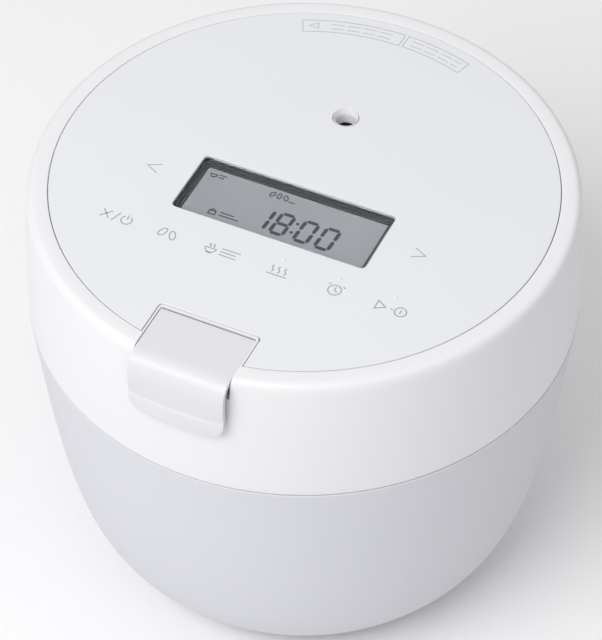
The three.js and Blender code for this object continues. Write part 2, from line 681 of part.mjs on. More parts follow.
function latchLever() {
  const lug = [[-104, 220.5], [-97, 220.5], ...arc(LEVER.y, LEVER.z, 2.8, 20, -200, 5)];
  const lugs = [[-21, -18], [18, 21]].map(([low, high]) => sideways(lug, low, high));
  const trunnions = [[-24.4, -20], [20, 24.4]].map(([low, high]) => rodX(LEVER.y, LEVER.z, LEVER.pinR, low, high));
  const tail = box(-7, 7, -110.1, -107.7, 205.3, 220.5);
  return join(leverSkin(), ...lugs, ...trunnions, tail);
}

/** The hook hangs through the lid's floor. Its claw reaches forward under the catch plate. */
function latchHook() {
  const outline = [
    [-113.6, 208], [-113.6, 186], [-115.2, 184], [-115.2, 151.3], [-120, 151.3], [-120, 149],
    [-118.4, 147], [-112.2, 147], [-112.2, 184], [-110.5, 186], [-110.5, 208],
  ];
  const { halfWidth } = HOOK;
  const arm = sideways(outline, -halfWidth, halfWidth);
  const hub = rodX(HOOK.y, HOOK.z, 3.6, -halfWidth, halfWidth, 14);
  const bore = rodX(HOOK.y, HOOK.z, HOOK.pinR + GAP, -halfWidth - 1, halfWidth + 1);
  return cut(join(arm, hub), bore);
}

/** A bent steel bracket on the lid's floor: two cheeks for the hook's pin and a tab for its spring. */
function latchBracket() {
  const cheek = [[-119, 171.7], [-103, 171.7], [-107.5, 190], [-116.5, 190]];
  const cheeks = [[-14, -12], [12, 14]].map(([low, high]) => sideways(cheek, low, high));
  const floor = box(-14, 14, -119, -103, 171.7, 173.5);
  const springTab = box(-6, 6, -104.6, -103, 171.7, 182);
  const slot = box(-9.5, 9.5, -118, -106, 170, 175);
  return cut(join(floor, ...cheeks, springTab), slot, rodX(HOOK.y, HOOK.z, HOOK.pinR + GAP, -20, 20));
}

add('latch_lever', glossWhite, latchLever());
add('latch_hook', steel, latchHook());
add('latch_bracket', steel, latchBracket());
add('hook_pin', steel, rodX(HOOK.y, HOOK.z, HOOK.pinR, -15, 15));
add('hook_spring', steel, alongY(coilSpring(2.6, 0.5, -111.8, -105, 3)), [0, 0, 178]);

export default model;
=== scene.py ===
"""The looks of a round white rice cooker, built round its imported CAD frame. Blender works in metres."""

import json
import math

import bmesh
import bpy
from mathutils import Matrix, Vector


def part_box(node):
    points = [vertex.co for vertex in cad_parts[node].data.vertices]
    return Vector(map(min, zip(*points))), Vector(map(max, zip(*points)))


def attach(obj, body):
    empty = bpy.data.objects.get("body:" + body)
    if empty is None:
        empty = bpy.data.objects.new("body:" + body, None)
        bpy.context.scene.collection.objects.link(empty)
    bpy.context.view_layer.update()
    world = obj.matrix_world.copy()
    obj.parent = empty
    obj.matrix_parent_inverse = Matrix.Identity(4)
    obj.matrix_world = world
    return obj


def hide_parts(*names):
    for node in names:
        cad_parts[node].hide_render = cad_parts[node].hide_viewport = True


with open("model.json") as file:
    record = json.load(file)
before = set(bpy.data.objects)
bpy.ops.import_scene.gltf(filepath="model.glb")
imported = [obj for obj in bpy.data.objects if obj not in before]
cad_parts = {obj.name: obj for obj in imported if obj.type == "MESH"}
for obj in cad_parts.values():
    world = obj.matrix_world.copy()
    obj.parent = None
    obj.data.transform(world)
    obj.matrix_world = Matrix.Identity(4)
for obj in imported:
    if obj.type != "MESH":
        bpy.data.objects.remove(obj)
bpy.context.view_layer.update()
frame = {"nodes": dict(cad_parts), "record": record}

MM = 0.001

# ------------------------------------------------------------------ dimensions, in millimetres


def node_box(name):
    """Lowest and highest corner of a CAD node, in millimetres."""
    low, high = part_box(name)
    return low / MM, high / MM


case_low, case_high = node_box("outer_case")
panel_low, panel_high = node_box("touch_panel")
lid_low, lid_high = node_box("lid_cover")
lever_low, lever_high = node_box("latch_lever")
window_low, window_high = node_box("lcd_window")
glass_low, glass_high = node_box("lcd_glass")
vent_low, vent_high = node_box("steam_vent")
pan_low, pan_high = node_box("inner_pan")
frame_low, frame_high = node_box("top_frame")
inner_lid_low, inner_lid_high = node_box("inner_lid")
lid_frame_low, lid_frame_high = node_box("lid_frame")

AXIS_Y = (case_low.y + case_high.y) / 2      # the bowl axis stands off the middle of the footprint
TOP_Z = panel_high.z
SEAM_Z = case_high.z
BODY_R = case_high.x
PANEL_R = panel_high.x
LID_R = lid_high.x
LID_BOTTOM_Z = lid_low.z
AROUND = 160                                 # facets round the visible shells

CASE_WALL = 2.8
PAN_WALL = 2
PAN_FLANGE = 4                               # how far the pan's rim stands out past its wall
PAN_CORNER = 30
PAN_LEVELS = (46, 62, 78, 94, 110)           # heights of the level lines above the pan's bottom
SEAM_GAP = 0.35                              # the gap round the panel and the window
FLAP_THICK = 2.3
FLAP_CORNER = 6.5
FLAP_EAR_X, FLAP_TAIL_X = 19.5, 7
LEVER_PIVOT = (-99.5, 217.2)                 # y from the bowl axis, and z
ARM_SLOT_X = 23.4                            # half the width of the slots that the lid's arms pass through
COWL_X, COWL_WALL = 38, 2.4
STEAM_CAP_Y = 44.2


def from_axis(y):
    """A y measured from the bowl axis, in the frame's own y."""
    return y + AXIS_Y


# ------------------------------------------------------------------ mesh helpers


def link(name, mesh):
    piece = bpy.data.objects.new(name, mesh)
    bpy.context.scene.collection.objects.link(piece)
    return piece


def smooth(piece, degrees=32):
    piece.data.shade_smooth()
    piece.data.set_sharp_from_angle(angle=math.radians(degrees))
    return piece


def baked(piece):
    """Applies a piece's modifiers, and keeps its name."""
    graph = bpy.context.evaluated_depsgraph_get()
    mesh = bpy.data.meshes.new_from_object(piece.evaluated_get(graph))
    name = piece.name
    bpy.data.objects.remove(piece)
    return link(name, mesh)


def clean(mesh, merge, sliver=0.0):
    """Merges doubles, dissolves slivers where a width is given, and turns the faces outwards."""
    work = bmesh.new()
    work.from_mesh(mesh)
    bmesh.ops.remove_doubles(work, verts=work.verts, dist=merge * MM)
    if sliver:
        bmesh.ops.dissolve_degenerate(work, edges=work.edges, dist=sliver * MM)
    bmesh.ops.recalc_face_normals(work, faces=work.faces)
    work.to_mesh(mesh)
    work.free()


def mesh_from(name, points, faces):
    """A mesh from points in millimetres, with doubles merged and faces turned outwards."""
    mesh = bpy.data.meshes.new(name)
    mesh.from_pydata([Vector(p) * MM for p in points], [], faces)
    clean(mesh, 0.002, 0.001)
    return link(name, mesh)


def rounded(outline, steps=5):
    """Rounds the corners of a closed outline of (a, b, radius) points. A radius of 0 keeps the corner."""
    result = []
    for i, (a, b, radius) in enumerate(outline):
        here = Vector((a, b))
        if not radius:
            result.append(tuple(here))
            continue
        before = Vector(outline[i - 1][:2]) - here
        after = Vector(outline[(i + 1) % len(outline)][:2]) - here
        half = before.angle(after) / 2
        reach = min(radius / math.tan(half), before.length * 0.49, after.length * 0.49)
        start, end = here + before.normalized() * reach, here + after.normalized() * reach
        for step in range(steps + 1):
            t = step / steps
            result.append(tuple(start * (1 - t) ** 2 + here * 2 * t * (1 - t) + end * t * t))
    return result


def bezier(points, steps):
    """Points of a Bezier curve of any degree through its control points."""
    result = []
    for step in range(steps + 1):
        level = [Vector(p) for p in points]
        while len(level) > 1:
            level = [a.lerp(b, step / steps) for a, b in zip(level, level[1:])]
        result.append(tuple(level[0]))
    return result


def lathe(name, outline, centre=(0, None), around=AROUND):
    """Turns a closed outline of (radius, z) about an upright axis."""
    x0 = centre[0]
    y0 = AXIS_Y if centre[1] is None else centre[1]
    points, faces, count = [], [], len(outline)
    for k in range(around):
        angle = 2 * math.pi * k / around
        for r, z in outline:
            points.append((x0 + r * math.sin(angle), y0 - r * math.cos(angle), z))
    for k in range(around):
        for i in range(count):
            here, up = k * count + i, k * count + (i + 1) % count
            over, over_up = (here + count) % (around * count), (up + count) % (around * count)
            if outline[i][0] < 1e-6 and outline[(i + 1) % count][0] < 1e-6:
                continue
            faces.append((here, over, over_up, up))
    return smooth(mesh_from(name, points, faces))


def flat_piece(name, loops, low_z, high_z, edge=0.0, rings=2):
    """A flat piece between two heights, from its outer loop and the loops of its holes, with rounded edges."""
    curve = bpy.data.curves.new(name, "CURVE")
    curve.dimensions = "2D"
    curve.fill_mode = "BOTH"
    curve.extrude = ((high_z - low_z) / 2 - edge) * MM
    curve.bevel_depth = edge * MM
    curve.bevel_resolution = rings
    curve.offset = -edge * MM
    for loop in loops:
        spline = curve.splines.new("POLY")
        spline.points.add(len(loop) - 1)
        for point, (x, y) in zip(spline.points, loop):
            point.co = (x * MM, y * MM, 0, 1)
        spline.use_cyclic_u = True
    source = link(name + "_curve", curve)
    graph = bpy.context.evaluated_depsgraph_get()
    mesh = bpy.data.meshes.new_from_object(source.evaluated_get(graph))
    bpy.data.objects.remove(source)
    mesh.transform(Matrix.Translation((0, 0, (low_z + high_z) / 2 * MM)))
    clean(mesh, 0.003)
    mesh.materials.clear()
    return level_faces(smooth(link(name, mesh), 28))


def level_faces(piece):
    """Keeps level faces flat, so that a rounded edge doesn't bend their shading."""
    for face in piece.data.polygons:
        if abs(face.normal.z) > 0.9999:
            face.use_smooth = False
    return piece


def rectangle(low_x, high_x, low_y, high_y, radius=0.0):
    corners = [(low_x, low_y), (high_x, low_y), (high_x, high_y), (low_x, high_y)]
    return rounded([(x, y, radius) for x, y in corners])


def ring_points(x, y, radius, count):
    turns = [2 * math.pi * i / count for i in range(count)]
    return [(x + radius * math.cos(turn), y + radius * math.sin(turn)) for turn in turns]


def block(name, low, high):
    """A plain box, used only as a tool for cutting and joining."""
    (x0, y0, z0), (x1, y1, z1) = low, high
    points = [(x, y, z) for x in (x0, x1) for y in (y0, y1) for z in (z0, z1)]
    faces = [(0, 1, 3, 2), (4, 6, 7, 5), (0, 4, 5, 1), (2, 3, 7, 6), (0, 2, 6, 4), (1, 5, 7, 3)]
    return mesh_from(name, points, faces)


def combine(piece, tool, operation):
    """Cuts, joins or crosses a piece with a tool, and uses the tool up."""
    modifier = piece.modifiers.new("tool", "BOOLEAN")
    modifier.operation = operation
    modifier.solver = "EXACT"
    modifier.object = tool
    result = baked(piece)
    bpy.data.objects.remove(tool)
    return result


def bevelled(piece, width, segments=2, degrees=40):
    modifier = piece.modifiers.new("edges", "BEVEL")
    modifier.width = width * MM
    modifier.segments = segments
    modifier.limit_method = "ANGLE"
    modifier.angle_limit = math.radians(degrees)
    modifier.use_clamp_overlap = True
    return piece


# ------------------------------------------------------------------ materials


class Nodes:
    """A short way to write a node material."""

    def __init__(self, name):
        self.material = bpy.data.materials.new(name)
        self.material.use_nodes = True
        self.tree = self.material.node_tree
        self.shader = self.tree.nodes["Principled BSDF"]
        self.coords = self.add("ShaderNodeTexCoord").outputs["Object"]

    def add(self, kind, links=(), **values):
        node = self.tree.nodes.new(kind)
        for key, value in values.items():
            if key in node.inputs:
                node.inputs[key].default_value = value
            else:
                setattr(node, key, value)
        for socket, source in links:
            self.tree.links.new(source, node.inputs[socket])
        return node

    def noise(self, scale, detail, stretch=None):
        vector = self.coords
        if stretch:
            vector = self.add("ShaderNodeMapping", [("Vector", vector)], Scale=stretch).outputs["Vector"]
        return self.add("ShaderNodeTexNoise", [("Vector", vector)], Scale=scale, Detail=detail).outputs["Fac"]

    def blend(self, factor, first, second):
        mix = self.add("ShaderNodeMix", data_type="RGBA")
        mix.inputs["A"].default_value = (*first, 1)
        mix.inputs["B"].default_value = (*second, 1)
        self.tree.links.new(factor, mix.inputs["Factor"])
        return mix.outputs["Result"]

    def span(self, factor, low, high, from_low=0.3, from_high=0.7):
        node = self.add("ShaderNodeMapRange", [("Value", factor)])
        for key, value in (("From Min", from_low), ("From Max", from_high), ("To Min", low), ("To Max", high)):
            node.inputs[key].default_value = value
        return node.outputs["Result"]

    def bump(self, height, strength, distance):
        node = self.add("ShaderNodeBump", [("Height", height)])
        node.inputs["Strength"].default_value = strength
        node.inputs["Distance"].default_value = distance * MM
        self.tree.links.new(node.outputs["Normal"], self.shader.inputs["Normal"])

    def set(self, socket, source):
        self.tree.links.new(source, self.shader.inputs[socket])

    def fixed(self, **values):
        for key, value in values.items():
            self.shader.inputs[key.replace("_", " ")].default_value = value


def shade(colour, factor):
    return tuple(min(1.0, c * factor) for c in colour)


def moulded(name, colour, roughness, grain=900, depth=0.02, variation=0.012, coat=0.0, coat_roughness=0.1):
    """Moulded plastic: a slow drift in tone, a fine spark-eroded grain and a slightly uneven gloss."""
    nodes = Nodes(name)
    drift = nodes.noise(14, 3)
    nodes.set("Base Color", nodes.blend(drift, shade(colour, 1 - variation), shade(colour, 1 + variation)))
    texture = nodes.noise(grain, 3)
    nodes.set("Roughness", nodes.span(texture, roughness * 0.9, roughness * 1.12))
    nodes.bump(texture, 0.35, depth)
    nodes.fixed(IOR=1.49, Coat_Weight=coat, Coat_Roughness=coat_roughness)
    return nodes.material


def metal(name, colour, roughness, streaks=(1, 1, 60)):
    """Rolled or machined metal, with streaks that run one way."""
    nodes = Nodes(name)
    streak = nodes.noise(40, 4, stretch=streaks)
    nodes.set("Base Color", nodes.blend(streak, shade(colour, 0.86), shade(colour, 1.06)))
    nodes.set("Roughness", nodes.span(streak, roughness * 0.75, roughness * 1.3))
    nodes.bump(streak, 0.2, 0.02)
    nodes.fixed(Metallic=1.0)
    return nodes.material


def spun_metal(name, colour, roughness):
    """Sheet metal brushed in circles round the bowl axis."""
    nodes = Nodes(name)
    centred = nodes.add("ShaderNodeMapping", [("Vector", nodes.coords)])
    centred.inputs["Location"].default_value = (0, -AXIS_Y * MM, 0)
    centred.inputs["Scale"].default_value = (1, 1, 0)
    radius = nodes.add("ShaderNodeVectorMath", [("Vector", centred.outputs["Vector"])], operation="LENGTH")
    rings = nodes.add("ShaderNodeTexNoise", noise_dimensions="1D", Scale=2600.0, Detail=3.0)
    nodes.tree.links.new(radius.outputs["Value"], rings.inputs["W"])
    cloud = nodes.noise(30, 3)
    nodes.set("Base Color", nodes.blend(cloud, shade(colour, 0.92), shade(colour, 1.05)))
    nodes.set("Roughness", nodes.span(rings.outputs["Fac"], roughness * 0.7, roughness * 1.35))
    nodes.bump(rings.outputs["Fac"], 0.25, 0.03)
    nodes.fixed(Metallic=1.0, Anisotropic=0.5)
    return nodes.material


def flecked(name, colour, fleck, roughness):
    """Non-stick coating: dark, with fine bright mica flecks."""
    nodes = Nodes(name)
    cells = nodes.add("ShaderNodeTexVoronoi", [("Vector", nodes.coords)], Scale=1100.0)
    specks = nodes.span(cells.outputs["Distance"], 1.0, 0.0, 0.05, 0.16)
    nodes.set("Base Color", nodes.blend(specks, colour, fleck))
    cloud = nodes.noise(260, 3)
    nodes.set("Roughness", nodes.span(cloud, roughness * 0.85, roughness * 1.2))
    nodes.bump(cloud, 0.3, 0.04)
    nodes.fixed(IOR=1.45, Coat_Weight=0.15, Coat_Roughness=0.25)
    return nodes.material


def display_face(name, colour):
    """A reflective liquid crystal: fine pixel rows under glass, slightly cloudy."""
    nodes = Nodes(name)
    cloud = nodes.noise(26, 4)
    rows = nodes.add("ShaderNodeTexWave", [("Vector", nodes.coords)], Scale=900.0, bands_direction="Y")
    tone = nodes.add("ShaderNodeMath", operation="MULTIPLY_ADD")
    nodes.tree.links.new(rows.outputs["Fac"], tone.inputs[0])
    tone.inputs[1].default_value = 0.12
    nodes.tree.links.new(cloud, tone.inputs[2])
    nodes.set("Base Color", nodes.blend(tone.outputs[0], shade(colour, 0.93), shade(colour, 1.07)))
    nodes.set("Roughness", nodes.span(cloud, 0.28, 0.4))
    nodes.fixed(IOR=1.5, Coat_Weight=0.4, Coat_Roughness=0.05)
    return nodes.material


def clear(name, colour):
    """Clear polished plastic, with the faintest haze."""
    nodes = Nodes(name)
    haze = nodes.noise(60, 2)
    nodes.set("Roughness", nodes.span(haze, 0.01, 0.04))
    nodes.fixed(Transmission_Weight=1.0, IOR=1.2, Base_Color=(*colour, 1))
    return nodes.material


def wound(name, colour):
    """Lacquered wire laid in rings round the bowl axis, with painted shade darkening the grooves between the turns."""
    nodes = Nodes(name)
    centred = nodes.add("ShaderNodeMapping", [("Vector", nodes.coords)])
    centred.inputs["Location"].default_value = (0, -AXIS_Y * MM, 0)
    wave = nodes.add("ShaderNodeTexWave", [("Vector", centred.outputs["Vector"])], Scale=90.0, wave_type="RINGS",
                     rings_direction="Z")
    # The base colour darkens to about a third where the rings dip: painted shade in the grooves between the turns.
    nodes.set("Base Color", nodes.blend(wave.outputs["Fac"], shade(colour, 0.35), colour))
    nodes.set("Roughness", nodes.span(wave.outputs["Fac"], 0.5, 0.3, 0, 1))
    nodes.bump(wave.outputs["Fac"], 0.8, 0.5)
    nodes.fixed(Metallic=0.8)
    return nodes.material


def circuit(name, colour):
    """Solder mask with paler tracks under it."""
    nodes = Nodes(name)
    cells = nodes.add("ShaderNodeTexVoronoi", [("Vector", nodes.coords)], Scale=220.0, distance="CHEBYCHEV",
                      feature="DISTANCE_TO_EDGE")
    tracks = nodes.span(cells.outputs["Distance"], 1.0, 0.0, 0.02, 0.06)
    nodes.set("Base Color", nodes.blend(tracks, colour, shade(colour, 1.8)))
    nodes.set("Roughness", nodes.span(tracks, 0.35, 0.5, 0, 1))
    nodes.bump(tracks, 0.4, 0.04)
    return nodes.material


WHITE_LID = (0.775, 0.775, 0.795)
WHITE_PANEL = (0.735, 0.745, 0.775)
WHITE_CASE = (0.65, 0.655, 0.695)

finishes = {
    "case_white": moulded("case_white", WHITE_CASE, 0.55, grain=1500, depth=0.035),
    "lid_white": moulded("lid_white", WHITE_LID, 0.36, grain=500, depth=0.006, coat=0.12, coat_roughness=0.2),
    "panel_white": moulded("panel_white", WHITE_PANEL, 0.42, grain=700, depth=0.01),
    "frame_white": moulded("frame_white", (0.70, 0.705, 0.72), 0.42, grain=800, depth=0.02),
    "vent_grey": moulded("vent_grey", (0.72, 0.725, 0.74), 0.45, grain=700, depth=0.02),
    "dark_grey": moulded("dark_grey", (0.028, 0.029, 0.033), 0.5, grain=900, depth=0.03, variation=0.08),
    "black_plastic": moulded("black_plastic", (0.014, 0.014, 0.016), 0.5, grain=900, depth=0.04, variation=0.1),
    "lcd_grey": display_face("lcd_grey", (0.40, 0.415, 0.425)),
    "clear_window": clear("clear_window", (0.97, 0.98, 1.0)),
    "foot_rubber": moulded("foot_rubber", (0.09, 0.09, 0.095), 0.8, grain=500, depth=0.06, variation=0.1),
    "silicone": moulded("silicone", (0.30, 0.31, 0.32), 0.6, grain=400, depth=0.04, variation=0.05),
    "steel": metal("steel", (0.55, 0.56, 0.58), 0.34),
    "stainless": spun_metal("stainless", (0.66, 0.66, 0.67), 0.3),
    "aluminium": metal("aluminium", (0.62, 0.63, 0.64), 0.4, streaks=(60, 1, 1)),
    "copper": wound("copper", (0.62, 0.26, 0.12)),
    "ferrite": moulded("ferrite", (0.02, 0.02, 0.022), 0.7, grain=600, depth=0.06, variation=0.15),
    "board_green": circuit("board_green", (0.03, 0.13, 0.05)),
    "capacitor_film": moulded("capacitor_film", (0.25, 0.27, 0.06), 0.4, grain=500, depth=0.03, variation=0.05),
    "pan_coating": flecked("pan_coating", (0.035, 0.035, 0.04), (0.25, 0.24, 0.23), 0.4),
}
# A darker copy of the lid's white, used on the flap alone: painted shade that tones down the light falling on the flap.
flap_white_painted_shade = moulded("flap_white_painted_shade", (0.68, 0.675, 0.70), 0.44, grain=500, depth=0.006, coat=0.04, coat_roughness=0.25)
# A paler copy of the dark grey surround, for its inner steps: painted highlight where light falls on them.
step_grey_painted_highlight = moulded("step_grey_painted_highlight", (0.075, 0.077, 0.083), 0.5, grain=900, depth=0.02, variation=0.08)
ink = moulded("print_grey", (0.36, 0.365, 0.40), 0.5, grain=1200, depth=0.004, variation=0.05)
pale_ink = moulded("print_pale", (0.42, 0.43, 0.46), 0.5, grain=1200, depth=0.004, variation=0.05)
segment_ink = moulded("segment_dark", (0.062, 0.065, 0.082), 0.4, grain=1200, depth=0.004, variation=0.05)


def dress(piece, finish, body, *replaced, slot=None):
    """Gives a piece its material, its body, and the CAD nodes that it stands for."""
    piece.data.materials.clear()
    piece.data.materials.append(finishes[finish] if isinstance(finish, str) else finish)
    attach(piece, body)
    if replaced:
        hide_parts(*replaced)
    return piece


for part in frame["record"]["subparts"]:
    shown = frame["nodes"][part["node"]]
    shown.data.materials.clear()
    shown.data.materials.append(finishes[part["material_slot"]])

# ------------------------------------------------------------------ camera, light and floor


CAMERA_PLACE = (333.157, -718.724, 989.193)  # millimetres from the foot of the bowl axis
CAMERA_RIGHT = (0.906219, 0.422807, 0.000526)
CAMERA_UP = (-0.310861, 0.665438, 0.678644)
CAMERA_BACK = (0.286586, -0.615164, 0.734467)
CAMERA_LENS, CAMERA_SENSOR = 140.625, 36
KEY_LIGHT = {"place": (-0.42, -1.42, 1.75), "aim": (0, 0, 0.12), "size": 1.5, "power": 30}   # metres and watts
SKY_LOW, SKY_HIGH = 0.3, 0.86                # brightness of the sky at the horizon and straight up
FLOOR_HALF = 6000
FLOOR_TONES = ((0.86, 0.86, 0.865), (0.88, 0.88, 0.885))


def make_camera():
    """A long lens from the front right, looking down at about 49 degrees."""
    data = bpy.data.cameras.new("camera")
    data.lens = CAMERA_LENS
    data.sensor_width = CAMERA_SENSOR
    data.clip_end = 20
    camera = bpy.data.objects.new("camera", data)
    bpy.context.scene.collection.objects.link(camera)
    turn = Matrix((CAMERA_RIGHT, CAMERA_UP, CAMERA_BACK)).transposed().to_4x4()
    x, y, z = CAMERA_PLACE
    place = Vector((x, from_axis(y), z)) * MM
    camera.matrix_world = Matrix.Translation(place) @ turn
    bpy.context.scene.camera = camera


def area_light(name, place, aim, size, power):
    data = bpy.data.lights.new(name, "AREA")
    data.shape = "DISK"
    data.size = size
    data.energy = power
    light = bpy.data.objects.new(name, data)
    bpy.context.scene.collection.objects.link(light)
    light.location = place
    light.rotation_euler = (Vector(aim) - Vector(place)).to_track_quat("-Z", "Y").to_euler()


def make_studio():
    """A pale floor, a sky that brightens upwards and one soft light, high in front on the left."""
    scene = bpy.context.scene
    scene.view_settings.view_transform = "Standard"
    scene.view_settings.look = "None"
    world = bpy.data.worlds.new("studio")
    scene.world = world
    world.use_nodes = True
    tree = world.node_tree
    background = tree.nodes["Background"]
    background.inputs["Color"].default_value = (1.0, 1.0, 1.0, 1)
    height = tree.nodes.new("ShaderNodeSeparateXYZ")
    tree.links.new(tree.nodes.new("ShaderNodeTexCoord").outputs["Generated"], height.inputs[0])
    fall = tree.nodes.new("ShaderNodeMapRange")
    for key, value in (("From Min", 0), ("From Max", 1), ("To Min", SKY_LOW), ("To Max", SKY_HIGH)):
        fall.inputs[key].default_value = value
    tree.links.new(height.outputs["Z"], fall.inputs["Value"])
    tree.links.new(fall.outputs["Result"], background.inputs["Strength"])
    area_light("key", **KEY_LIGHT)
    corners = [(-FLOOR_HALF, -FLOOR_HALF, 0), (FLOOR_HALF, -FLOOR_HALF, 0), (FLOOR_HALF, FLOOR_HALF, 0),
               (-FLOOR_HALF, FLOOR_HALF, 0)]
    floor = mesh_from("floor", corners, [(0, 1, 2, 3)])
    nodes = Nodes("studio_floor")
    drift = nodes.noise(2, 2)
    nodes.set("Base Color", nodes.blend(drift, *FLOOR_TONES))
    nodes.fixed(Roughness=0.9, Specular_IOR_Level=0.1)
    floor.data.materials.append(nodes.material)


make_camera()
make_studio()

# ------------------------------------------------------------------ body


LIE_BACK = Matrix.Rotation(math.radians(-90), 4, "X")                        # lays an upright axis along y
STAND_UP = Matrix(((0, 0, 1, 0), (1, 0, 0, 0), (0, 1, 0, 0), (0, 0, 0, 1)))  # turns (x, y, z) into (z, x, y)


def case_outline(offset, steps):
    """The outside of the body from the base to the parting line, as (radius, z)."""
    base_z = case_low.z
    controls = [
        (BODY_R - 38.8, base_z), (BODY_R - 20.4, base_z + 30.6), (BODY_R - 10.3, base_z + 9.7), (BODY_R, SEAM_Z),
    ]
    return [(r + offset, z) for r, z in bezier(controls, steps)]


def make_case():
    """The matt lower shell, with a small rounded lip at the parting line that stands just proud of the lid."""
    outside = case_outline(0, 40)
    lip = rounded([
        (BODY_R, SEAM_Z - 1.2, 0), (BODY_R + 0.1, SEAM_Z, 0.5), (BODY_R - CASE_WALL, SEAM_Z, 0.3),
        (BODY_R - CASE_WALL, SEAM_Z - 2, 0),
    ], 4)
    inside = [(r, z) for r, z in reversed(case_outline(-CASE_WALL, 24)) if z < SEAM_Z - 2]
    foot_edge = rounded([inside[-1] + (0,), (outside[0][0], case_low.z, 0.8), outside[2] + (0,)], 3)[1:-1]
    wall = [p for p in outside if case_low.z + 1 < p[1] < SEAM_Z - 1.3]
    case = lathe("case_shell", foot_edge + wall + lip + inside)
    gland_low, gland_high = node_box("cord_gland")
    hole = lathe("gland_hole", [(0, 85), (8.3, 85), (8.3, 125), (0, 125)], centre=(0, 0), around=48)
    hole.data.transform(Matrix.Translation((0, AXIS_Y * MM, (gland_low.z + gland_high.z) / 2 * MM)) @ LIE_BACK)
    case = combine(case, hole, "DIFFERENCE")
    dress(smooth(case), "case_white", "body", "outer_case")


def make_pan():
    """The inner pan: coated inside and out, with a rolled flange and a ladder of level lines."""
    flange_r, wall_r = pan_high.x, pan_high.x - PAN_FLANGE
    bottom, top = pan_low.z, pan_high.z
    outline = rounded([
        (0, bottom, 0), (wall_r, bottom, PAN_CORNER), (wall_r, top - 2.5, 1.0), (flange_r, top - 2.5, 1.0),
        (flange_r, top, 1.1), (wall_r - PAN_WALL, top, 2.2),
        (wall_r - PAN_WALL, bottom + PAN_WALL, PAN_CORNER - PAN_WALL), (0, bottom + PAN_WALL, 0),
    ], 14)
    dress(lathe("pan_bowl", outline), "pan_coating", "body", "inner_pan", "inner_pan_floor")
    for count, height in enumerate(PAN_LEVELS):
        half = math.radians(5 if count % 2 else 9)
        r = wall_r - PAN_WALL - 0.25
        points, faces = [], []
        steps = 12
        for i in range(steps + 1):
            angle = half * (2 * i / steps - 1)
            for radius, z in ((r, 0), (r + 0.35, 0), (r + 0.35, 0.7), (r, 0.7)):
                points.append((radius * math.sin(angle), from_axis(radius * math.cos(angle)), bottom + height + z))
        for i in range(steps):
            for j in range(4):
                a, b = 4 * i + j, 4 * i + (j + 1) % 4
                faces.append((a, a + 4, b + 4, b))
        faces += [(0, 1, 2, 3), tuple(4 * steps + j for j in (3, 2, 1, 0))]
        dress(smooth(mesh_from(f"pan_level_{count + 1}", points, faces)), pale_ink, "body", slot="pan_coating")


def make_collar():
    """The satin collar round the pan, with the slot that the latch hook drops through."""
    outer, top, low = frame_high.x, frame_high.z, frame_low.z
    collar = lathe("pan_collar", rounded([
        (outer - 18.4, low, 0), (outer - 14.8, low, 0), (outer - 14.8, top - 2.2, 0), (outer - 5.4, top - 2.2, 0),
        (outer - 5.4, low, 0), (outer, low, 0.3), (outer, low + 2.2, 0.4), (outer - 3.2, low + 2.2, 0.8),
        (outer - 3.2, top, 1.8), (outer - 16.6, top, 1.8), (outer - 16.6, low + 2.2, 0.5),
        (outer - 18.4, low + 2.2, 0.3),
    ], 5))
    slot_x, slot_back, past = 11, from_axis(-107.7), 5
    slot_low = block("slot", (-slot_x, from_axis(-116.6), low - past), (slot_x, slot_back, top + past))
    slot_high = block("slot", (-slot_x, from_axis(-125), low + 2.4), (slot_x, slot_back, top + past))
    collar = combine(combine(collar, slot_low, "DIFFERENCE"), slot_high, "DIFFERENCE")
    dress(smooth(collar), "frame_white", "body", "top_frame")


def make_feet():
    for name in ("front_left", "front_right", "rear_left", "rear_right"):
        low, high = node_box(f"foot_{name}")
        centre = ((low.x + high.x) / 2, (low.y + high.y) / 2)
        outline = rounded([
            (0, 0, 0), (7.2, 0, 0), (8, 0.6, 1.2), (8, 2.9, 0.4), (2.3, 2.9, 0), (2.3, 7, 0.5), (0, 7, 0),
        ], 4)
        dress(lathe(f"pad_{name}", outline, centre, 48), "foot_rubber", "body", f"foot_{name}")


def make_gland():
    """The rubber-edged cord outlet at the back, with no cord in it."""
    low, high = node_box("cord_gland")
    radius = (high.z - low.z) / 2
    outline = rounded([
        (3.8, low.y, 0.3), (radius, low.y, 1.0), (radius, high.y, 2.6), (3.8, high.y, 1.0),
    ], 6)
    gland = lathe("cord_outlet", outline, (0, 0), 64)
    gland.data.transform(Matrix.Translation((0, 0, (low.z + high.z) / 2 * MM)) @ LIE_BACK)
    dress(gland, "black_plastic", "body", "cord_gland")


def side_piece(name, outline, low_x, high_x, edge=0.0, rings=2):
    """A piece with an outline of (y, z, radius) points, given its width from low_x to high_x."""
    loop = rounded([(from_axis(y), z, radius) for y, z, radius in outline], 6)
    piece = flat_piece(name, [loop], low_x, high_x, edge, rings)
    piece.data.transform(STAND_UP)
    return piece


